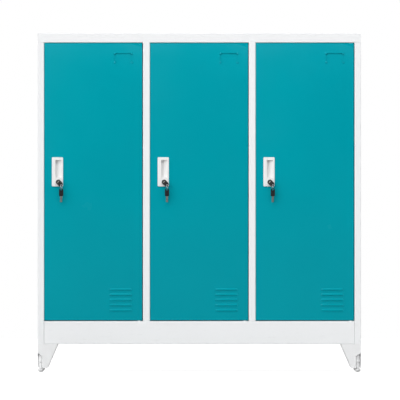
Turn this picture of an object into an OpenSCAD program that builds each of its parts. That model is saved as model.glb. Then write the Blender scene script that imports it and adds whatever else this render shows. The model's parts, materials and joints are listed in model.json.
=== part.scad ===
// Locker cabinet: a sheet-metal body with three compartments side by side, each closed by an
// inset door with a recessed pull, a cam lock and a folding key, standing on corner feet.
// +Z is up and the doors face -Y. The origin is at floor level, in the middle of the footprint.

/* [Body] */
// Width of the body
cab_w = 1200; // [1140:10:1400]
// Depth of the sheet-metal body
cab_d = 450; // [400:10:600]
// Height of the sheet-metal body, without its feet
body_h = 1154; // [900:2:1900]
// Thickness of the sheet metal
sheet = 0.8; // [0.6:0.1:1]
// Width of the flanges that the back panel is screwed to
rear_flange = 20; // [16:1:30]

/* [Front frame] */
// Width of each side post
side_post = 24; // [22:1:40]
// Width of each post between two doors
divider_post = 25.5; // [24:0.5:40]
// Height of the top rail
top_rail = 35; // [30:1:60]
// Height of the plinth rail
plinth_h = 85; // [60:1:120]
// Depth of the posts behind the front
post_d = 22; // [22:1:24]
// Width of the latch lip behind each door's lock edge
latch_lip = 12; // [10:1:14]

/* [Doors] */
// Gap above, below and on the hinge side of each door
door_gap = 2.5; // [2:0.1:3]
// Gap on the lock side of each door
latch_gap = 1.2; // [1:0.1:2]
// Depth of each door's folded edges
door_d = 20; // [18:0.5:20]
// Width of the lip round the back of each door
door_lip = 10; // [8:1:14]
// Distance from the door's hinge edge to its pivot
pivot_in = 12; // [10:1:14]
// Distance from the door's face back to its pivot
pivot_back = 7; // [6:0.5:8]
// Radius of a pivot pin
pin_r = 2.5; // [2:0.25:3]
// Running clearance round a pin or plug
running = 0.05; // [0.03:0.01:0.1]

/* [Vents and label] */
// Number of louvres on each door
louvre_count = 5; // [1:1:10]
// Length of one louvre
louvre_l = 85; // [40:1:150]
// Distance from one louvre to the next
louvre_pitch = 19.2; // [14:0.1:30]
// Height of the lowest louvre above the opening's lower edge
louvre_up = 38; // [30:1:100]
// Width of the label pocket
label_w = 66; // [40:1:90]
// Height of the label pocket
label_h = 35; // [20:1:60]
// Distance from the opening's edges to the label pocket and to the louvres
trim_in = 40; // [34:1:60]

/* [Pull and lock] */
// Width of the recessed pull
pull_w = 41.5; // [41:0.5:60]
// Height of the recessed pull
pull_h = 108; // [108:1:140]
// Distance from the opening's left edge to the pull
pull_in = 29; // [22:1:40]
// Distance from the opening's upper edge down to the pull
pull_down = 426; // [300:1:500]
// Distance that the pull stands proud of the door
pull_proud = 2.5; // [2:0.1:3]
// Distance from the pull's left edge to the lock's axis
lock_in = 23.7; // [22:0.1:25]
// Height of the lock's axis above the pull's lower edge
lock_up = 16.5; // [15:0.1:18]
// Radius of the lock's round face
lock_r = 8.5; // [8.2:0.1:10.5]
// Radius of the lock's plug
plug_r = 6; // [5.6:0.1:6.4]

/* [Keys] */
// Angle that the key's head is folded down at rest
key_fold = 65; // [50:1:70]
// Length of a key's blade
blade_l = 24; // [20:1:26]
// Width of a key's blade
blade_w = 8; // [7:0.1:8.4]
// Thickness of a key's blade
blade_t = 2.2; // [1.8:0.1:2.4]
// Radius of the key ring's wire centre line
ring_r = 8; // [7.5:0.1:9]
// Radius of the key ring's wire
wire_r = 0.7; // [0.5:0.1:0.8]

/* [Feet] */
// Height of a foot, without its leveller
foot_h = 90; // [70:1:120]
// Height of the leveller's glide below the foot
glide_h = 13; // [12:1:16]
// Width of a foot's wings at the top
wing_top = 72.6; // [60:0.1:90]
// Width of a foot's wings at the bottom
wing_low = 36; // [30:0.5:50]

/* [Inside] */
// Distance from the top of a compartment down to its shelf
shelf_down = 300; // [150:10:400]
// Radius of the hanging rod
rod_r = 8; // [6:0.5:10]

/* [Hidden] */
$fn = 64;
SIDES = ["left", "middle", "right"];
CORNERS = ["front_left", "front_right", "rear_left", "rear_right"];
DOOR_PIECES = ["door_panel", "door_stiffener", "pull_handle", "lock_barrel", "lock_plug", "lock_cam",
    "key_blade", "key_head", "key_ring", "spare_key_blade", "spare_key_head"];

little = 0.01;              // overlap of a cutter past the face that it cuts
bend_steps = 5;             // flats in one sheet-metal bend
bend_r = 2 * sheet;         // outer radius of a bend
half = sheet / 2;

// Keys: the fold pivot stands in front of the door, and the head hangs to the lower right of it.
pivot_out = 10;             // distance of a key's fold pivot in front of the door
head_w = 18;
head_t = 4.4;
eye_t = 2;                  // thickness of a key's head round its eye
head_root = 4;              // part of the head behind the fold pivot
head_tip = 21.8;            // part of the head in front of the fold pivot
eye_at = 17.2;              // distance of the eye from the fold pivot
eye_r = 2.8;
ring_hang = 0.2;            // how far the ring's wire hangs below the eye's centre
ring_turn = -20;            // turn of the ring's plane from the Y axis
ring_front = ring_r * cos(ring_turn) + wire_r;
key_out = pivot_out + eye_at * cos(key_fold) + ring_front;
spare_w = 16;
spare_h = 29;
spare_t = 4.2;
spare_eye_down = 4.5;       // distance of the spare key's eye below the top of its head
spare_hang = 1.2;           // how far the spare key's eye hangs below the ring's wire
spare_blade = 22;

// Screws: pan heads on the back and under the feet's flanges.
screw_r = 2.1;
screw_head_r = 3.8;
screw_head_h = 1.8;

// The body's faces.
leg_h = foot_h + glide_h;
front = -(cab_d + screw_head_h - key_out) / 2;
back = front + cab_d;
low = leg_h;
high = leg_h + body_h;
opening_low = low + plinth_h;
opening_high = high - top_rail;
opening_h = opening_high - opening_low;
opening_w = (cab_w - 2 * side_post - 2 * divider_post) / 3;
pitch = opening_w + divider_post;
seam = 0.4;                 // visible joint between the posts and the rails

// Behind the front, the partitions stand off the posts, and the back panel closes the rear.
partition_x = pitch / 2 + 3.75;     // distance of a partition's centre from the middle
back_panel_y = back - 2 * sheet;    // front face of the back panel
plinth_return = 30;

// One door, measured from its opening's lower left corner at the front face.
door_w = opening_w - latch_gap - door_gap;
door_h = opening_h - 2 * door_gap;
pivot_x = opening_w - door_gap - pivot_in;
pull_low = opening_h - pull_down - pull_h;
lock_x = pull_in + lock_in;
lock_z = pull_low + lock_up;
barrel_back = post_d + 1;           // rear end of the lock's barrel, behind the door's face
cam_y = barrel_back + 1;            // front face of the cam
cam_t = 2;
cam_reach = lock_x - 2;

// The key's directions: across the blade, and the way that the head hangs.
fold_down = [1, 0, -1] / sqrt(2);
head_dir = [0, -cos(key_fold), 0] + sin(key_fold) * fold_down;
eye = [0, -pivot_out, 0] + eye_at * head_dir;

// ---------------------------------------------------------------- shared shapes

function unit(v) = v / norm(v);
function turned(v, angle) = [v.x * cos(angle) - v.y * sin(angle), v.x * sin(angle) + v.y * cos(angle)];
function reversed(list) = [for (i = [len(list) - 1 : -1 : 0]) list[i]];

// One side of a bend at corner b on the way from a to c. away is the side's distance from the centre line.
function bend(a, b, c, away) =
    let (
        way_in = unit(b - a),
        way_out = unit(c - b),
        angle = atan2(cross(way_in, way_out), way_in * way_out),
        hand = sign(angle),
        r = bend_r - half,
        normal = [-way_in.y, way_in.x],
        start = b - r * tan(abs(angle) / 2) * way_in,
        centre = start + hand * r * normal
    )
    [for (k = [0 : bend_steps]) centre + turned((away - hand * r) * normal, angle * k / bend_steps)];

// One side of a folded sheet whose centre line is path.
function sheet_side(path, away) =
    let (
        n = len(path),
        first = unit(path[1] - path[0]),
        last = unit(path[n - 1] - path[n - 2])
    )
    concat(
        [path[0] + away * [-first.y, first.x]],
        [for (i = [1 : 1 : n - 2]) each bend(path[i - 1], path[i], path[i + 1], away)],
        [path[n - 1] + away * [-last.y, last.x]]
    );

// A strip of sheet folded along path and length long, drawn in the XY plane and standing along Z.
module folded(path, length) {
    linear_extrude(length)
        polygon(concat(sheet_side(path, half), reversed(sheet_side(path, -half))));
}

// The same strip lying along X: path is drawn in Y and Z.
module folded_along_x(path, length) {
    rotate([90, 0, 90])
        folded(path, length);
}

// Corner of a rounded rectangle: an arc of radius r about centre, from angle start.
function corner_arc(centre, r, start) =
    [for (k = [0 : bend_steps]) centre + r * [cos(start + 90 * k / bend_steps), sin(start + 90 * k / bend_steps)]];

// Outline w by h with its lower corners of radius low_r and its upper corners of radius high_r.
function rounded_outline(w, h, low_r, high_r) = concat(
    low_r > 0 ? corner_arc([low_r, low_r], low_r, 180) : [[0, 0]],
    low_r > 0 ? corner_arc([w - low_r, low_r], low_r, 270) : [[w, 0]],
    corner_arc([w - high_r, h - high_r], high_r, 0),
    corner_arc([high_r, h - high_r], high_r, 90)
);

// A block with its upper edges rounded on all four sides, and its lower edges too if low_r is over 0.
module rounded_block(size, low_r, high_r) {
    intersection() {
        rotate([90, 0, 90])
            linear_extrude(size.x)
                polygon(rounded_outline(size.y, size.z, low_r, high_r));
        translate([0, size.y, 0])
            rotate([90, 0, 0])
                linear_extrude(size.y)
                    polygon(rounded_outline(size.x, size.z, low_r, high_r));
    }
}

// A sheet tray, open downwards. lip is the width of the lips round its open side: 0 for plain flanges.
module tray(size, lip) {
    inset = max(lip, sheet);
    difference() {
        rounded_block(size, lip > 0 ? bend_r : 0, bend_r);
        translate([sheet, sheet, sheet])
            rounded_block(size - 2 * sheet * [1, 1, 1], 0, bend_r - sheet);
        translate([inset, inset, -1])
            cube([size.x - 2 * inset, size.y - 2 * inset, 1 + 2 * sheet]);
    }
}

// A rod along Y from y0 to y1.
module rod_y(r, y0, y1) {
    translate([0, y0, 0])
        rotate([-90, 0, 0])
            cylinder(r = r, h = y1 - y0);
}

// A flat piece cut to the outline of its children, which are drawn in X and Z, from y0 to y1.
module plate_y(y0, y1) {
    translate([0, y1, 0])
        rotate([90, 0, 0])
            linear_extrude(y1 - y0)
                children();
}

// A round-cornered rectangle with true arcs, from [0, 0].
module round_square(size, r) {
    translate([r, 0])
        square([size.x - 2 * r, size.y]);
    translate([0, r])
        square([size.x, size.y - 2 * r]);
    for (x = [r, size.x - r], y = [r, size.y - r])
        translate([x, y])
            circle(r);
}

// Places children in the frame of compartment c: its opening's lower left corner at the front face.
module at_opening(c) {
    translate([(c - 1) * pitch - opening_w / 2, front, opening_low])
        children();
}

module at_lock(c) {
    at_opening(c)
        translate([lock_x, 0, lock_z])
            children();
}

// ---------------------------------------------------------------- body

// Heights of the screws in the back panel's edges, shared by the panel, its flanges and the screws.
function back_screw_points() =
    let (rows = 5, top = opening_high - 30, bottom = low + 40, side = cab_w / 2 - rear_flange / 2)
    [for (x = [-side, -partition_x - 7, partition_x + 7, side], k = [0 : rows - 1])
        [x, bottom + (top - bottom) * k / (rows - 1)]];

module back_screw_holes() {
    for (p = back_screw_points())
        translate([p.x, 0, p.y])
            rod_y(screw_r, back - 20, back + 1);
}

// Side panel on the left: rear flange, outer wall, post, jamb, and the latch lip up to lip_to.
module side_panel(lip_to) {
    wall = -cab_w / 2 + half;
    jamb = -cab_w / 2 + side_post - half;
    path = [
        [wall + rear_flange, back - half],
        [wall, back - half],
        [wall, front + half],
        [jamb, front + half],
        [jamb, front + post_d + half],
        [lip_to, front + post_d + half]
    ];
    difference() {
        union() {
            translate([0, 0, low])
                folded(path, opening_high - low - seam);
            translate([-cab_w / 2 + sheet, front + 40, opening_high - 12])      // joggled tongue
                cube([sheet, cab_d - 80, top_rail - 4]);
            translate([-cab_w / 2 + half, front + 30, low])                     // flange for the feet
                cube([30, cab_d - 60, sheet]);
        }
        back_screw_holes();
        for (y = foot_screw_rows())
            translate([-cab_w / 2 + foot_screw_in, y, low - 1])
                cylinder(r = screw_r, h = 4);
        translate([jamb + half + little, front + 3, low - 1])               // room for the plinth's returns
            cube([2 * latch_lip, 2 * post_d, plinth_h + 2]);
    }
}

module left_side_panel() {
    color("white")
        side_panel(-cab_w / 2 + side_post + latch_lip);
}

module right_side_panel() {
    color("white")
        mirror([1, 0, 0])
            side_panel(-cab_w / 2 + side_post - latch_lip);
}

// Partition right of an opening, with the post between that opening and the next.
module divider(opening) {
    post_left = (opening - 1) * pitch + opening_w / 2 + half;
    post_right = post_left + divider_post - sheet;
    wall = (opening == 0 ? -1 : 1) * partition_x;
    flange = (opening == 0 ? -1 : 1) * 15;
    path = [
        [wall + flange, back_panel_y - half],
        [wall, back_panel_y - half],
        [wall, front + post_d + half],
        [post_left, front + post_d + half],
        [post_left, front + half],
        [post_right, front + half],
        [post_right, front + post_d + half],
        [post_right + latch_lip + half, front + post_d + half]
    ];
    color("white")
        difference() {
            translate([0, 0, opening_low])
                folded(path, opening_h);
            back_screw_holes();
        }
}

module back_panel() {
    color("white")
        difference() {
            translate([-cab_w / 2 + 2 * sheet, back_panel_y, low + 1])
                cube([cab_w - 4 * sheet, sheet, body_h - sheet - 2]);
            back_screw_holes();
            for (x = [-1, 1] * anchor_x)
                translate([x, 0, anchor_z])
                    rod_y(anchor_r, back_panel_y - 1, back_panel_y + 2);
        }
}

// Cap: top sheet with drops on all sides, and a return under its front drop for the upper pivots.
module top_panel() {
    color("white")
        difference() {
            union() {
                translate([-cab_w / 2, front, opening_high])
                    tray([cab_w, cab_d, top_rail], 0);
                translate([-cab_w / 2 + side_post + seam, front + half, opening_high])
                    cube([cab_w - 2 * side_post - 2 * seam, post_d - half, sheet]);
            }
            for (c = [0 : 2])
                at_opening(c)
                    translate([pivot_x, pivot_back, opening_h - 1])
                        cylinder(r = pin_r, h = 3);
        }
}

module floor_panel() {
    y0 = front + plinth_return + sheet;
    color("white")
        translate([-cab_w / 2 + 2 * sheet, y0, opening_low - 20])
            tray([cab_w - 4 * sheet, back_panel_y - y0 - sheet, 20], 0);
}

// Plinth: bottom return, front face, and a top return that carries the lower pivots.
module plinth_rail() {
    length = cab_w - 2 * side_post - 2 * seam;
    path = [
        [front + 24, low + half],
        [front + half, low + half],
        [front + half, opening_low - half],
        [front + plinth_return, opening_low - half],
        [front + plinth_return, opening_low - 16]
    ];
    color("white")
        difference() {
            translate([-length / 2, 0, 0])
                folded_along_x(path, length);
            for (c = [0 : 2])
                at_opening(c)
                    translate([pivot_x, pivot_back, -2])
                        cylinder(r = pin_r, h = 3);
        }
}

// ---------------------------------------------------------------- inside

// Left and right walls of compartment c, as X values of their inner faces.
function walls(c) = [
    [-cab_w / 2 + sheet, -partition_x - half],
    [-partition_x + half, partition_x - half],
    [partition_x + half, cab_w / 2 - sheet]
][c];

shelf_front = front + 46;
shelf_depth = back_panel_y - shelf_front - 6;
shelf_top = opening_high - shelf_down;
shelf_h = 22;
rod_z = shelf_top - 80;
rod_y_at = front + cab_d / 2;

module shelf(c) {
    w = walls(c);
    color("white")
        translate([w[0] + 2.4, shelf_front, shelf_top - shelf_h])
            tray([w[1] - w[0] - 4.8, shelf_depth, shelf_h], 10);
}

// Two clips on each wall of each compartment, hooked under the shelves.
module shelf_clips() {
    clip = 16;
    color("gainsboro")
        for (c = [0 : 2], end = [0, 1], y = [shelf_front + 40, shelf_front + shelf_depth - 40 - clip])
            translate([walls(c)[end], y, shelf_top - shelf_h])
                mirror([end, 0, 0]) {
                    translate([0, 0, -clip])
                        cube([1.5, clip, 2 * clip - 4]);
                    translate([0, 0, -1.5])
                        cube([clip, clip, 1.5]);
                }
}

module hanging_rods() {
    color("silver")
        for (c = [0 : 2])
            translate([walls(c)[0] + 3, rod_y_at, rod_z])
                rotate([0, 90, 0])
                    difference() {
                        cylinder(r = rod_r, h = walls(c)[1] - walls(c)[0] - 6);
                        translate([0, 0, -1])
                            cylinder(r = rod_r - 1, h = cab_w);
                    }
}

// A flanged cup at each end of each rod.
module rod_brackets() {
    color("gainsboro")
        for (c = [0 : 2], end = [0, 1])
            translate([walls(c)[end], rod_y_at, rod_z])
                mirror([end, 0, 0])
                    rotate([0, 90, 0])
                        difference() {
                            union() {
                                cylinder(r = rod_r + 9, h = 2.2);
                                cylinder(r = rod_r + 2.5, h = 14);
                            }
                            translate([0, 0, 2.6])
                                cylinder(r = rod_r, h = 20);
                        }
}

// Two rubber buffers on each latch lip, which the closed door leans on.
module door_buffers() {
    color("dimgray")
        for (c = [0 : 2], z = [60, opening_h - 60])
            at_opening(c)
                translate([latch_lip / 2 + 0.5, 0, z])
                    rotate([-90, 0, 0])
                        rotate_extrude()
                            polygon([[0, door_d + 0.1], [3, door_d + 0.1], [4, door_d + 0.6], [4, post_d], [0, post_d]]);
}

// ---------------------------------------------------------------- hinges

module pivot_pins() {
    color("silver")
        for (c = [0 : 2], top = [0, 1])
            at_opening(c)
                translate([pivot_x, pivot_back, top * opening_h])
                    mirror([0, 0, 1 - top]) {
                        translate([0, 0, -door_gap - sheet - 4])
                            cylinder(r = pin_r, h = door_gap + 2 * sheet + 4 + little);
                        translate([0, 0, sheet])
                            cylinder(r = 2 * pin_r, h = 2.2);
                    }
}

// Nylon washers that the doors stand on.
module pivot_washers() {
    color("whitesmoke")
        for (c = [0 : 2])
            at_opening(c)
                translate([pivot_x, pivot_back, 0])
                    difference() {
                        cylinder(r = 5.5, h = door_gap - 0.1);
                        translate([0, 0, -1])
                            cylinder(r = pin_r, h = door_gap + 2);
                    }
}

// ---------------------------------------------------------------- door

// Cross-section of a louvre's hood, from its open lower edge up to the door: radius outward, y forward.
function hood_section(rise, out, root) = concat(
    [for (k = [0 : 6]) [rise * sin(15 * k), -out * cos(15 * k)]],
    [[rise, root], [0, root]]
);

// One pressed hood along +X: a half bead with round ends, open at its lower edge.
module hood(rise, out, root, length, end_r) {
    translate([end_r, 0, 0])
        rotate([90, 0, 90])
            linear_extrude(length - 2 * end_r)
                polygon([for (p = hood_section(rise, out, root)) [p.y, p.x]]);
    for (x = [0, 1])
        translate([x ? length - end_r : end_r, 0, 0])
            intersection() {
                rotate([-90, 0, 0])
                    rotate_extrude()
                        polygon(hood_section(rise, out, root));
                translate([x ? 0 : -2 * rise, -20, 0])
                    cube([2 * rise, 40, 2 * rise]);
            }
}

hood_rise = 7;
hood_out = 2.2;
louvre_x = opening_w - trim_in - louvre_l;

module louvres(shell) {
    for (k = [0 : louvre_count - 1])
        translate([louvre_x, 0, louvre_up + k * louvre_pitch])
            if (shell)
                hood(hood_rise, hood_out, half, louvre_l, hood_rise);
            else
                translate([sheet, 0, -little])
                    hood(hood_rise - sheet, hood_out - sheet, 2 * sheet, louvre_l - 2 * sheet, hood_rise - sheet);
}

label_x = opening_w - trim_in - label_w;
label_z = opening_h - trim_in - label_h;
label_d = 2.4;              // depth of the label pocket
tab_r = 4;
tab_out = 2.2;

// Pressed pocket that holds a card under small domed tabs at its corners.
module label_tray() {
    translate([label_x - sheet, 0, label_z - sheet])
        cube([label_w + 2 * sheet, label_d + sheet, label_h + 2 * sheet]);
}

module label_tabs() {
    dome = [for (k = [0 : 5]) [tab_r * sin(18 * k), -tab_out * cos(18 * k)]];
    for (x = [1, label_w - 1], z = [1, label_h - 1])
        translate([label_x + x, 0, label_z + z])
            rotate([-90, 0, 0])
                rotate_extrude()
                    polygon(concat(dome, [[tab_r, half], [0, half]]));
}

// Cut-out in the door behind the pull, a little inside the pull's plate.
cut_in = 3;
cut_w = pull_w - 2 * cut_in;
cut_h = pull_h - 2 * cut_in;

module door_panel() {
    color("darkcyan") {
        difference() {
            union() {
                translate([latch_gap, door_d, door_gap])
                    rotate([90, 0, 0])
                        door_tray();
                label_tray();
                louvres(true);
            }
            translate([label_x, -1, label_z])
                cube([label_w, 1 + label_d, label_h]);
            louvres(false);
            translate([pull_in + cut_in, -1, pull_low + cut_in])
                cube([cut_w, 4, cut_h]);
            translate([pivot_x, pivot_back, -1])
                cylinder(r = pin_r + running, h = opening_h + 2);
        }
        label_tabs();
    }
}

// The tray of the door lies on its back: width, height, depth.
module door_tray() {
    tray([door_w, door_h, door_d], door_lip);
}

// Hat-section stiffener welded up the inside of the door.
module door_stiffener() {
    middle = 0.4 * door_w;
    web = 14;
    path = [
        [middle - 34, sheet + half],
        [middle - 18, sheet + half],
        [middle - 14, web],
        [middle + 14, web],
        [middle + 18, sheet + half],
        [middle + 34, sheet + half]
    ];
    color("darkcyan")
        translate([0, 0, 24])
            folded(path, opening_h - 48);
}

// ---------------------------------------------------------------- pull and lock

scoop_left = 13;            // pocket, measured from the plate's left and upper edges
scoop_right = 36;
scoop_top = 10.5;
scoop_low = 75;

// Outline of the finger pocket in X and Y: undercut on the left, sloping out to the right.
function scoop_outline() =
    let (x0 = pull_in + scoop_left, x1 = pull_in + scoop_right)
    [
        [x0, -pull_proud - 1],
        [x0, 0.6],
        [x0 - 2.5, 2.4],
        [x0 - 2.5, 8.6],
        [x0 - 1, 10],
        [x0 + 6, 10],
        [x1 - 4, 3],
        [x1 - 0.5, -0.5],
        [x1, -pull_proud - 1]
    ];

module pull_handle() {
    core_x = pull_in + cut_in + 0.2;
    core_z = pull_low + cut_in + 0.2;
    core_w = cut_w - 0.4;
    core_h = cut_h - 0.4;
    color("whitesmoke")
        difference() {
            union() {
                translate([pull_in, 0, pull_low])
                    plate_y(-pull_proud, 0)
                        round_square([pull_w, pull_h], 3);
                translate([core_x, -little, core_z])
                    cube([core_w, 12 + little, core_h]);
            }
            translate([0, 0, pull_low + pull_h - scoop_low])
                linear_extrude(scoop_low - scoop_top)
                    polygon(scoop_outline());
            translate([lock_x, 0, lock_z])
                rod_y(lock_r - 1, -5, 20);
            for (x = [2, core_w - 4])       // hollow back on both sides of the lock
                translate([core_x + x, 2, core_z + 2])
                    cube([2, 13, 24]);
        }
}

module lock_barrel() {
    color("dimgray")
        difference() {
            union() {
                translate([0, -pull_proud, 0])
                    rotate([90, 0, 0])
                        rotate_extrude()
                            polygon([[0, 0], [lock_r, 0], [lock_r, 1.2], [lock_r - 0.8, 2], [0, 2]]);
                rod_y(lock_r - 1, -pull_proud - little, barrel_back);
            }
            rod_y(plug_r + running, -10, barrel_back + 1);
        }
}

// Plug that the key turns, with the keyway through it and a square drive for the cam behind.
module lock_plug() {
    flush = -pull_proud - 2.4;
    color("darkgray")
        difference() {
            union() {
                rod_y(plug_r, flush, cam_y - 0.2);
                translate([-3.5, cam_y - 0.3, -3.5])
                    cube([7, cam_t + 1.8, 7]);
            }
            rotate([0, -45, 0])
                translate([-blade_w / 2 - 0.2, flush - 1, -blade_t / 2 - 0.2])
                    cube([blade_w + 0.4, blade_l + 4, blade_t + 0.4]);
        }
}

// Cam that swings behind the latch lip. It hangs down while the door is unlocked.
module lock_cam() {
    color("silver")
        difference() {
            plate_y(cam_y, cam_y + cam_t) {
                circle(8);
                translate([-6, -cam_reach + 6])
                    square([12, cam_reach - 6]);
                translate([0, -cam_reach + 6])
                    circle(6);
            }
            translate([-3.6, cam_y - 1, -3.6])
                cube([7.2, cam_t + 2, 7.2]);
        }
}

// ---------------------------------------------------------------- keys

// The key's own frame: X across the blade, Z the way that the head folds down, -Y out of the lock.
module at_key() {
    rotate([0, -45, 0])
        mirror([0, 0, 1])
            children();
}

// Blade, its shoulder and the fork that carries the fold pin.
module key_blade() {
    inner = blade_l - pull_proud - 2.4;     // part of the blade inside the plug
    color("silver")
        at_key()
            difference() {
                union() {
                    translate([-blade_w / 2, -pivot_out + 4.6, -blade_t / 2])
                        cube([blade_w, inner + pivot_out - 4.6, blade_t]);
                    translate([0, -pivot_out, 0])
                        rotate([0, 90, 0])
                            cylinder(r = 1.2, h = head_w - 3, center = true);
                    translate([-blade_w / 2, -pivot_out, -blade_t / 2])
                        cube([blade_w, 5, blade_t]);
                }
                for (k = [0 : 3])           // bitting
                    translate([blade_w / 2 - 1 - 0.4 * (k % 2), 4 + 3.4 * k, -3])
                        cube([3, 1.8, 6]);
            }
}

// Outline of a key's head, w wide, from y = -root to y = tip, with its corners of radius root_r and tip_r.
module head_outline(w, root, tip, root_r, tip_r) {
    hull()
        for (side = [-1, 1]) {
            translate([side * (w / 2 - root_r), -root + root_r])
                circle(root_r, $fn = 32);
            translate([side * (w / 2 - tip_r), tip - tip_r])
                circle(tip_r, $fn = 32);
        }
}

// Plastic head, folded down by key_fold, with a slot for the blade's tongue and a bore for its pin.
module key_head() {
    color("#202022")
        at_key()
            translate([0, -pivot_out, 0])
                rotate([180 - key_fold, 0, 0])
                    difference() {
                        union() {
                            translate([0, 0, -head_t / 2])
                                linear_extrude(head_t)
                                    head_outline(head_w, head_root, eye_at - eye_r - 2, 2, 3);
                            translate([0, 0, -eye_t / 2])
                                linear_extrude(eye_t)
                                    head_outline(head_w, 0, head_tip, 2, head_w / 2);
                        }
                        rotate([0, 90, 0])
                            cylinder(r = 1.25, h = head_w - 2.6, center = true);
                        translate([-blade_w / 2 - 0.4, -head_root - 1, -10])
                            cube([blade_w + 0.8, head_root + 5, 20]);
                        translate([0, eye_at, -10])
                            cylinder(r = eye_r, h = 20);
                    }
}

module key_ring() {
    color("silver")
        translate(eye + [0, 0, -ring_hang - ring_r])
            rotate([0, 0, ring_turn])
                rotate([0, 90, 0])
                    rotate_extrude()
                        translate([ring_r, 0])
                            circle(wire_r, $fn = 24);
}

spare_eye = eye + [0, 0, -ring_hang - 2 * ring_r - spare_hang];
spare_low = spare_h - spare_eye_down;       // distance of the spare head's lower end below its eye

// Plastic head of the spare key: thin round its eye, thick where it is held.
module spare_key_head() {
    grip_from = eye_r + 2;
    color("#202022")
        translate(spare_eye)
            difference() {
                rotate([-90, 0, 0]) {
                    translate([0, 0, -eye_t / 2])
                        linear_extrude(eye_t)
                            head_outline(spare_w, spare_eye_down, spare_low, 7, 3);
                    translate([0, 0, -spare_t / 2])
                        linear_extrude(spare_t)
                            head_outline(spare_w, -grip_from, spare_low, 3, 3);
                }
                rod_y(eye_r, -5, 5);
            }
}

module spare_key_blade() {
    color("silver")
        translate(spare_eye)
            difference() {
                translate([-blade_w / 2, -blade_t / 2, -spare_low - spare_blade])
                    cube([blade_w, blade_t, spare_blade]);
                for (k = [0 : 3])           // bitting
                    translate([blade_w / 2 - 1 - 0.4 * (k % 2), -3, -spare_low - 18 + 3.4 * k])
                        cube([3, 6, 1.8]);
            }
}

// ---------------------------------------------------------------- feet

foot_t = 2;                 // wall of a foot
column_at = 12.5;           // the column's axis, from both outer faces
column_r = 7.5;
stud_r = 3.9;
glide_r = 11;
glide_round = 8;            // rounding of the glide's lower edge
collar_low = glide_h + 24;  // ring round the column
cut_high = leg_h - 33;      // where the corner begins to be cut away
cut_full = leg_h - 45;      // where the cut is at its full depth
cut_q = 13.5;               // full depth of the cut, along the diagonal
foot_screw_in = 24;

function foot_screw_rows() = [front + 58, back - 58];

// Places children, drawn for the front left corner, at one of the four corners.
module at_corner(right, rear) {
    mirror([right, 0, 0])
        translate([-cab_w / 2, rear ? back : front, 0])
            mirror([0, rear, 0])
                children();
}

module wing() {
    plate_y(0, foot_t)
        polygon([[0, glide_h], [wing_low, glide_h], [wing_top, leg_h - 6], [wing_top, leg_h], [0, leg_h]]);
}

// Column for the leveller, with a ring and a groove round it.
module column() {
    rotate_extrude()
        polygon([
            [0, glide_h],
            [column_r, glide_h],
            [column_r, collar_low - 7],
            [column_r - 1.2, collar_low - 6],
            [column_r - 1.2, collar_low - 3],
            [column_r, collar_low - 2],
            [column_r, collar_low],
            [column_r + 0.8, collar_low + 1],
            [column_r + 0.8, collar_low + 5],
            [column_r, collar_low + 6],
            [column_r, leg_h - 1],
            [0, leg_h - 1]
        ]);
}

// Two wings, a top plate, and the column, which shows where the wings' corner is cut away.
module foot() {
    color("gainsboro")
        difference() {
            union() {
                difference() {
                    union() {
                        wing();
                        mirror([1, -1, 0])
                            wing();
                        translate([0, 0, leg_h - 3])
                            linear_extrude(3)
                                polygon([[0, 0], [wing_top, 0], [wing_top, 14], [14, wing_top], [0, wing_top]]);
                    }
                    rotate([0, 0, 45])
                        rotate([90, 0, 0])
                            translate([0, 0, -60])
                                linear_extrude(120)
                                    polygon([[-1, -1], [cut_q, -1], [cut_q, cut_full], [0, cut_high], [-1, cut_high]]);
                }
                translate([column_at, column_at, 0])
                    column();
                for (m = [0, 1])            // webs from the column to the wings
                    mirror([m, -m, 0])
                        translate([column_at + column_r - 1, 1, glide_h + 6])
                            cube([foot_t, column_at, foot_h - 8]);
            }
            translate([column_at, column_at, glide_h - 1])
                cylinder(r = stud_r + 0.08, h = foot_h - 20);
            translate([foot_screw_in, 58, leg_h - 10])
                cylinder(r = screw_r, h = 20);
        }
}

// Threaded stud with a round glide.
module leveller() {
    color("lightgray")
        translate([column_at, column_at, 0])
            rotate_extrude()
                polygon(concat(
                    [[0, 0]],
                    [for (k = [0 : 6]) [glide_r, glide_round] + glide_round * [sin(15 * k) - 1, -cos(15 * k)]],
                    [[glide_r, glide_h - 3.4], [glide_r - 1, glide_h - 2.4], [5, glide_h - 2], [5, glide_h - 0.4],
                        [stud_r, glide_h - 0.4], [stud_r, glide_h + 50], [0, glide_h + 50]]));
}

// ---------------------------------------------------------------- fasteners

anchor_x = pitch;           // wall anchors, in the middle of the outer compartments
anchor_z = opening_high - 60;
anchor_r = 4;

module pan_screw(length) {
    cylinder(r = screw_head_r, h = screw_head_h);
    translate([0, 0, -length])
        cylinder(r = screw_r, h = length + little);
}

module cabinet_screws() {
    color("silver")
        for (p = back_screw_points())
            translate([p.x, back, p.y])
                rotate([-90, 0, 0])
                    pan_screw(8);
}

module foot_screws() {
    color("silver")
        for (right = [0, 1], rear = [0, 1])
            at_corner(right, rear)
                translate([foot_screw_in, 58, low + sheet])
                    pan_screw(7);
}

// ---------------------------------------------------------------- assembly

left_side_panel();
right_side_panel();
divider(0);  // left_divider
divider(1);  // right_divider
back_panel();
top_panel();
floor_panel();
plinth_rail();
shelf_clips();
hanging_rods();
rod_brackets();
door_buffers();
pivot_pins();
pivot_washers();
cabinet_screws();
foot_screws();
for (k = [0 : 3]) {
    at_corner(k % 2, floor(k / 2)) foot();
    at_corner(k % 2, floor(k / 2)) leveller();
}
for (c = [0 : 2]) {
    shelf(c);
    at_opening(c) door_panel();
    at_opening(c) door_stiffener();
    at_opening(c) pull_handle();
    at_lock(c) lock_barrel();
    at_lock(c) lock_plug();
    at_lock(c) lock_cam();
    at_lock(c) key_blade();
    at_lock(c) key_head();
    at_lock(c) key_ring();
    at_lock(c) spare_key_blade();
    at_lock(c) spare_key_head();
}
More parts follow.
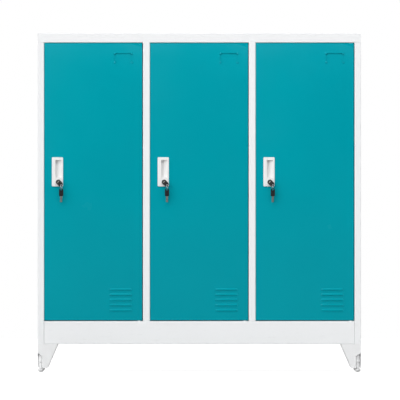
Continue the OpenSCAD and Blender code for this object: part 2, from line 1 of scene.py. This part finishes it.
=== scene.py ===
"""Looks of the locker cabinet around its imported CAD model: materials, rounded edges, studio and camera."""

import json
import math

import bpy
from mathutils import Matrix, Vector


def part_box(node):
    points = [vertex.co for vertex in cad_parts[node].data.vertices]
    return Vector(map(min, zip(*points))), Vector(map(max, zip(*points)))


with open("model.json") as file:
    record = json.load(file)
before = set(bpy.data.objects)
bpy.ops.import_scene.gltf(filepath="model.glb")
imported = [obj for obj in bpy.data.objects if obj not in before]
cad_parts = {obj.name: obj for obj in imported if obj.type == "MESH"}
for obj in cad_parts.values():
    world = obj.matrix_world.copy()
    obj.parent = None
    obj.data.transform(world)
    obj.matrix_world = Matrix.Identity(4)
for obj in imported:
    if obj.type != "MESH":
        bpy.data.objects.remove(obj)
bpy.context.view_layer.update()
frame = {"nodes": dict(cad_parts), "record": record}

MM = 0.001
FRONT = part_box("left_side_panel")[0].y                  # the cabinet's front face
DOOR_LOW, DOOR_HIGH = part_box("middle_door_panel")
PITCH = DOOR_LOW.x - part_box("left_door_panel")[0].x     # distance from one door to the next


# ---------------------------------------------------------------- node helpers


class Recipe:
    """A material under construction: short names for the nodes that the recipes below share."""

    def __init__(self, name):
        self.material = bpy.data.materials.new(name)
        self.material.use_nodes = True
        self.tree = self.material.node_tree
        self.shader = self.tree.nodes["Principled BSDF"]
        self.place = self.node("ShaderNodeTexCoord").outputs["Object"]

    def node(self, kind, **settings):
        made = self.tree.nodes.new(kind)
        for key, value in settings.items():
            setattr(made, key, value)
        return made

    def link(self, source, target):
        self.tree.links.new(source, target)

    def set(self, **values):
        """Sets the shader's own sockets, given with _ for each space."""
        for key, value in values.items():
            self.shader.inputs[key.replace("_", " ")].default_value = value

    def noise(self, scale, detail=3.0, roughness=0.5, stretch=(1, 1, 1)):
        """Noise with a feature size of 1 / scale metres, stretched by the given factors."""
        mapping = self.node("ShaderNodeMapping")
        mapping.inputs["Scale"].default_value = stretch
        self.link(self.place, mapping.inputs["Vector"])
        made = self.node("ShaderNodeTexNoise")
        made.inputs["Scale"].default_value = scale
        made.inputs["Detail"].default_value = detail
        made.inputs["Roughness"].default_value = roughness
        self.link(mapping.outputs["Vector"], made.inputs["Vector"])
        return made.outputs["Fac"]

    def spread(self, source, low, high, to_low=0.0, to_high=1.0):
        """Maps source from low..high to to_low..to_high, clamped."""
        made = self.node("ShaderNodeMapRange", clamp=True)
        self.link(source, made.inputs["Value"])
        for name, value in (("From Min", low), ("From Max", high), ("To Min", to_low), ("To Max", to_high)):
            made.inputs[name].default_value = value
        return made.outputs["Result"]

    def math(self, operation, a, b=0.0):
        """Arithmetic on numbers or other nodes' outputs. b is unused by operations on one value."""
        made = self.node("ShaderNodeMath", operation=operation)
        for socket, value in zip(made.inputs, (a, b)):
            if isinstance(value, (int, float)):
                socket.default_value = value
            else:
                self.link(value, socket)
        return made.outputs["Value"]

    def mix(self, factor, a, b):
        """Mixes two colours, each an (r, g, b) or another node's output."""
        made = self.node("ShaderNodeMix", data_type="RGBA")
        self.link(factor, made.inputs["Factor"])
        for socket, value in ((made.inputs[6], a), (made.inputs[7], b)):
            if isinstance(value, tuple):
                socket.default_value = (*value, 1.0)
            else:
                self.link(value, socket)
        return made.outputs[2]

    def along(self, axis):
        """Position at rest along the model's X, Y or Z, in metres. It stays with the piece as that moves."""
        split = self.node("ShaderNodeSeparateXYZ")
        self.link(self.place, split.inputs["Vector"])
        return split.outputs[axis]

    def bump(self, source, distance, strength=1.0, under=None):
        made = self.node("ShaderNodeBump")
        made.inputs["Strength"].default_value = strength
        made.inputs["Distance"].default_value = distance
        self.link(source, made.inputs["Height"])
        if under is not None:
            self.link(under, made.inputs["Normal"])
        return made.outputs["Normal"]

    def worn_edges(self, radius):
        """1 at rounded or worn edges and 0 on flats, from how far a bevelled normal turns."""
        bevel = self.node("ShaderNodeBevel", samples=4)
        bevel.inputs["Radius"].default_value = radius
        normal = self.node("ShaderNodeNewGeometry").outputs["Normal"]
        turn = self.node("ShaderNodeVectorMath", operation="DOT_PRODUCT")
        self.link(bevel.outputs["Normal"], turn.inputs[0])
        self.link(normal, turn.inputs[1])
        return self.spread(turn.outputs["Value"], 0.995, 0.8)

    def color(self, source):
        self.link(source, self.shader.inputs["Base Color"])

    def roughness(self, source):
        self.link(source, self.shader.inputs["Roughness"])

    def normal(self, source):
        self.link(source, self.shader.inputs["Normal"])


# ---------------------------------------------------------------- materials


def bowed(r, offset, depth):
    """Height of a shallow bow: 0 in the middle, and down by its whole depth at an offset of 0.5."""
    return r.math("MULTIPLY", r.math("POWER", r.math("ABSOLUTE", offset), 2.0), -4.0 * depth)


def door_bow(r, side_bow, upright_bow, roll):
    """Height of a door's face: bowed outward a little, and rolled back near its upper edge."""
    slope = 0.12                        # how far the roll's lower edge slants across the door
    roll_start, roll_end = 0.40, 0.54   # in door heights above the door's middle
    pitches = r.math("ADD", r.math("DIVIDE", r.along("X"), PITCH), 0.5)
    across = r.math("SUBTRACT", r.math("FRACT", pitches), 0.5)
    up = r.spread(r.along("Z"), DOOR_LOW.z, DOOR_HIGH.z, -0.5, 0.5)
    slant = r.math("ADD", up, r.math("MULTIPLY", across, slope))
    rolled = r.math("MULTIPLY", r.math("POWER", r.spread(slant, roll_start, roll_end), 2.0), -roll)
    bow = r.math("ADD", bowed(r, across, side_bow), bowed(r, up, upright_bow))
    return r.math("ADD", bow, rolled)


def powder_coat(name, base, low_tone, high_tone, rough, shine, bow=None):
    """Baked powder coat: orange peel, faint clouds, scuffs near the floor and edges rubbed thin."""
    scuff_top, scuff_full = 0.22, 0.06  # heights in metres where the scuffs begin and are strongest
    sway = 0.4 * MM                     # depth of the sheet's own slow waves
    r = Recipe(name)
    r.set(Specular_IOR_Level=shine)
    cloud = r.spread(r.noise(3.0, 4.0), 0.3, 0.7)
    scuff_grain = r.spread(r.noise(90.0, 6.0, 0.7, (0.25, 1, 1)), 0.58, 0.74)
    near_floor = r.spread(r.along("Z"), scuff_top, scuff_full)
    scuffs = r.math("MULTIPLY", scuff_grain, near_floor)
    tone = r.mix(cloud, low_tone, high_tone)
    toned = r.mix(r.math("MULTIPLY", scuffs, 0.25), tone, tuple(0.6 * c for c in base))
    rub = r.math("MULTIPLY", r.worn_edges(0.6 * MM), r.spread(r.noise(160.0, 4.0), 0.45, 0.65, 0.0, 0.22))
    r.color(r.mix(rub, toned, tuple(min(1.0, 1.25 * c + 0.03) for c in base)))
    smudge = r.spread(r.noise(7.0, 5.0, 0.6), 0.35, 0.75, rough - 0.05, rough + 0.07)
    r.roughness(r.math("ADD", smudge, r.math("MULTIPLY", scuffs, 0.15)))
    shape = r.bump(door_bow(r, **bow), 1.0) if bow else None    # its height is already in metres
    waves = r.bump(r.noise(5.0, 1.0, 0.3, (1, 1, 0.5)), sway, 1.0, shape)
    peel = r.bump(r.noise(650.0, 2.0), 0.03 * MM, 0.5, waves)
    r.normal(r.bump(r.noise(2600.0, 2.0), 0.008 * MM, 0.5, peel))
    return r.material


def moulded_plastic(name, base, rough, grain=0.02, wear=0.15, shine=0.5):
    """Moulded plastic with a spark-eroded grain, faint flow marks and rubbed edges."""
    r = Recipe(name)
    r.set(Specular_IOR_Level=shine)
    flow = r.spread(r.noise(28.0, 3.0, 0.5, (1, 1, 0.3)), 0.3, 0.7)
    tone = r.mix(flow, tuple(0.955 * c for c in base), base)
    rub = r.math("MULTIPLY", r.worn_edges(0.5 * MM), wear)
    r.color(r.mix(rub, tone, tuple(min(1.0, 1.3 * c + 0.05) for c in base)))
    r.roughness(r.spread(r.noise(110.0, 5.0), 0.3, 0.7, rough - 0.06, rough + 0.08))
    texture = r.bump(r.noise(2200.0, 3.0, 0.6), grain * MM, 0.7)
    r.normal(r.bump(r.noise(60.0, 2.0), 0.05 * MM, 0.35, texture))
    return r.material


def worn_metal(name, base, rough, stretch, scratch=0.3):
    """Plated or bare metal: grain stretched along the rolling direction, fine scratches and dull patches."""
    r = Recipe(name)
    r.set(Metallic=1.0)
    patches = r.spread(r.noise(120.0, 5.0, 0.6), 0.3, 0.7)
    r.color(r.mix(patches, tuple(0.82 * c for c in base), base))
    grain = r.noise(1800.0, 3.0, 0.6, stretch)
    scratches = r.spread(r.noise(700.0, 6.0, 0.75, tuple(reversed(stretch))), 0.6, 0.7, 0.0, scratch)
    dull = r.spread(grain, 0.3, 0.7, rough - 0.07, rough + 0.09)
    r.roughness(r.math("ADD", dull, r.math("MULTIPLY", scratches, 0.4)))
    r.normal(r.bump(r.math("ADD", grain, scratches), 0.012 * MM, 0.5))
    return r.material


def zinc_plate(name):
    """Bright zinc plating with its faint blue and yellow passivation."""
    r = Recipe(name)
    r.set(Metallic=1.0)
    tint = r.spread(r.noise(60.0, 4.0, 0.6), 0.35, 0.65)
    r.color(r.mix(tint, (0.60, 0.62, 0.66), (0.66, 0.64, 0.56)))
    r.roughness(r.spread(r.noise(500.0, 4.0), 0.3, 0.7, 0.28, 0.42))
    r.normal(r.bump(r.noise(900.0, 3.0), 0.01 * MM, 0.5))
    return r.material


def turned_face(name, base):
    """Dark plated lock face: rings from the lathe about each lock's own axis."""
    r = Recipe(name)
    r.set(Metallic=0.9)
    generated = r.tree.nodes["Texture Coordinate"].outputs["Generated"]
    centred = r.node("ShaderNodeVectorMath", operation="SUBTRACT")
    centred.inputs[1].default_value = (0.5, 0.5, 0.5)
    r.link(generated, centred.inputs[0])
    across = r.node("ShaderNodeVectorMath", operation="MULTIPLY")
    across.inputs[1].default_value = (1, 0, 1)
    r.link(centred.outputs["Vector"], across.inputs[0])
    radius = r.node("ShaderNodeVectorMath", operation="LENGTH")
    r.link(across.outputs["Vector"], radius.inputs[0])
    rings = r.math("SINE", r.math("MULTIPLY", radius.outputs["Value"], 260.0))
    patches = r.spread(r.noise(300.0, 4.0), 0.35, 0.7)
    rub = r.math("MULTIPLY", r.worn_edges(0.5 * MM), 0.5)
    r.color(r.mix(rub, r.mix(patches, tuple(0.8 * c for c in base), base), (0.45, 0.44, 0.42)))
    r.roughness(r.spread(rings, -1.0, 1.0, 0.26, 0.38))
    r.normal(r.bump(rings, 0.01 * MM, 0.35))
    return r.material


def rubber(name):
    """Soft black rubber with a dusty bloom."""
    r = Recipe(name)
    bloom = r.spread(r.noise(700.0, 5.0), 0.4, 0.7)
    r.color(r.mix(bloom, (0.025, 0.025, 0.027), (0.06, 0.06, 0.06)))
    r.roughness(r.spread(r.noise(500.0, 3.0), 0.3, 0.7, 0.7, 0.9))
    r.normal(r.bump(r.noise(1500.0, 3.0), 0.03 * MM, 0.6))
    return r.material


MATERIALS = {
    "white_coat": powder_coat(
        "white_coat",
        base=(0.86, 0.87, 0.88),
        low_tone=(0.85, 0.86, 0.87),
        high_tone=(0.865, 0.875, 0.885),
        rough=0.36,
        shine=0.5,
    ),
    "teal_coat": powder_coat(
        "teal_coat",
        base=(0.0, 0.305, 0.37),
        low_tone=(0.0, 0.30, 0.37),
        high_tone=(0.0, 0.315, 0.385),
        rough=0.22,
        shine=0.10,
        bow={"side_bow": 9 * MM, "upright_bow": 22 * MM, "roll": 14 * MM},
    ),
    "white_plastic": moulded_plastic("white_plastic", (0.86, 0.86, 0.86), 0.42),
    "foot_plastic": moulded_plastic("foot_plastic", (0.85, 0.855, 0.86), 0.45, grain=0.03),
    "glide_plastic": moulded_plastic("glide_plastic", (0.80, 0.805, 0.81), 0.5, grain=0.03),
    "lock_metal": turned_face("lock_metal", (0.09, 0.087, 0.084)),
    "zinc_steel": zinc_plate("zinc_steel"),
    "chromed_steel": worn_metal("chromed_steel", (0.78, 0.79, 0.80), 0.14, (1, 1, 1), scratch=0.15),
    "key_steel": worn_metal("key_steel", (0.50, 0.49, 0.46), 0.3, (1, 1, 0.05)),
    "key_plastic": moulded_plastic(
        "key_plastic", (0.014, 0.014, 0.016), 0.5, grain=0.015, wear=0.06, shine=0.18
    ),
    "buffer_rubber": rubber("buffer_rubber"),
}


# ---------------------------------------------------------------- CAD nodes

# Rounding of each slot's sharp edges, in millimetres.
EDGE_ROUND = {
    "white_coat": 0.15,
    "teal_coat": 0.15,
    "white_plastic": 0.4,
    "foot_plastic": 0.45,
    "glide_plastic": 0.3,
    "lock_metal": 0.2,
    "zinc_steel": 0.15,
    "chromed_steel": 0.1,
    "key_steel": 0.1,
    "key_plastic": 0.35,
    "buffer_rubber": 0.2,
}


def soften(piece, width, angle=35):
    """Smooth shading with a small rounded edge wherever two faces meet at a real corner."""
    piece.data.shade_smooth()
    bevel = piece.modifiers.new("edges", "BEVEL")
    bevel.width = width
    bevel.segments = 2
    bevel.limit_method = "ANGLE"
    bevel.angle_limit = math.radians(angle)
    bevel.harden_normals = True


def finish_cad_nodes():
    """Gives every CAD node its slot's material and edge rounding."""
    for entry in frame["record"]["subparts"]:
        piece = frame["nodes"][entry["node"]]
        slot = entry["material_slot"]
        piece.data.materials.clear()
        piece.data.materials.append(MATERIALS[slot])
        soften(piece, EDGE_ROUND[slot] * MM)


finish_cad_nodes()


# ---------------------------------------------------------------- studio


def add_object(name, data):
    made = bpy.data.objects.new(name, data)
    bpy.context.scene.collection.objects.link(made)
    return made


def facing(direction):
    """Rotation that points a lamp's beam along direction."""
    return Vector(direction).to_track_quat("-Z", "Y").to_euler()


def add_floor():
    """A pale round floor, wide enough for every view. Its glow for the camera keeps shadows faint."""
    radius = 14.0
    corners = 96
    glow_strength = 0.85
    angles = [2 * math.pi * k / corners for k in range(corners)]
    points = [(radius * math.cos(angle), radius * math.sin(angle), 0) for angle in angles]
    mesh = bpy.data.meshes.new("studio_floor")
    mesh.from_pydata(points, [], [list(range(corners))])
    floor = add_object("studio_floor", mesh)
    r = Recipe("studio_floor")
    r.set(Specular_IOR_Level=0.0, Emission_Color=(1.0, 1.0, 1.0, 1.0))
    r.color(r.mix(r.spread(r.noise(2.0, 4.0), 0.3, 0.7), (0.33, 0.33, 0.33), (0.35, 0.35, 0.35)))
    glow = r.math("MULTIPLY", r.node("ShaderNodeLightPath").outputs["Is Camera Ray"], glow_strength)
    r.link(glow, r.shader.inputs["Emission Strength"])
    r.roughness(r.spread(r.noise(30.0, 3.0), 0.3, 0.7, 0.9, 1.0))
    floor.data.materials.append(r.material)


def add_softbox(name, place, target, size, power):
    light = bpy.data.lights.new(name, "AREA")
    light.shape = "RECTANGLE"
    light.size, light.size_y = size
    light.energy = power
    lamp = add_object(name, light)
    lamp.location = place
    lamp.rotation_euler = facing(Vector(target) - Vector(place))


def add_world():
    """Studio surround: a white backdrop for the camera, and light that is darker in front."""
    world = bpy.data.worlds.new("studio")
    world.use_nodes = True
    tree = world.node_tree
    surround = tree.nodes["Background"]
    direction = tree.nodes.new("ShaderNodeTexCoord")
    split = tree.nodes.new("ShaderNodeSeparateXYZ")
    tree.links.new(direction.outputs["Generated"], split.inputs["Vector"])
    level = tree.nodes.new("ShaderNodeMapRange")
    for name, value in (("From Min", -0.85), ("From Max", 0.6), ("To Min", 0.01), ("To Max", 0.8)):
        level.inputs[name].default_value = value
    tree.links.new(split.outputs["Y"], level.inputs["Value"])
    tree.links.new(level.outputs["Result"], surround.inputs["Strength"])
    backdrop = tree.nodes.new("ShaderNodeBackground")
    backdrop.inputs["Strength"].default_value = 1.0
    seen = tree.nodes.new("ShaderNodeLightPath")
    both = tree.nodes.new("ShaderNodeMixShader")
    tree.links.new(seen.outputs["Is Camera Ray"], both.inputs["Fac"])
    tree.links.new(surround.outputs["Background"], both.inputs[1])
    tree.links.new(backdrop.outputs["Background"], both.inputs[2])
    tree.links.new(both.outputs["Shader"], tree.nodes["World Output"].inputs["Surface"])
    for node in (surround, backdrop):
        node.inputs["Color"].default_value = (1.0, 1.0, 1.0, 1.0)
    bpy.context.scene.world = world


def add_sun(name, direction, power, spread):
    """Very soft light from far away, so all three doors get the same. direction points at the light."""
    light = bpy.data.lights.new(name, "SUN")
    light.energy = power
    light.angle = math.radians(spread)
    lamp = add_object(name, light)
    lamp.location = 6 * Vector(direction)
    lamp.rotation_euler = facing(-Vector(direction))


def add_camera():
    """Front view through a very long lens from far away, at the height of the cabinet's middle."""
    distance = 60.0
    frame_width = 1.4842        # what the frame spans at the cabinet's front
    eye_side, eye_height = 0.0027, 0.6374
    data = bpy.data.cameras.new("camera")
    data.sensor_width = 36.0
    data.lens = data.sensor_width * distance / frame_width
    data.clip_start = 1.0
    data.clip_end = 200.0
    camera = add_object("camera", data)
    camera.location = (eye_side, FRONT - distance, eye_height)
    camera.rotation_euler = (math.radians(90), 0, 0)
    bpy.context.scene.camera = camera


add_floor()
add_sun("key_light", direction=(-0.55, -0.60, 0.58), power=2.55, spread=75)
add_sun("fill_light", direction=(0.75, -0.60, 0.28), power=0.85, spread=60)
add_softbox("upper_light", place=(0.0, -3.0, 3.8), target=(0, 0, 0.9), size=(3.0, 1.2), power=42)
add_world()
add_camera()
bpy.context.scene.view_settings.view_transform = "Standard"
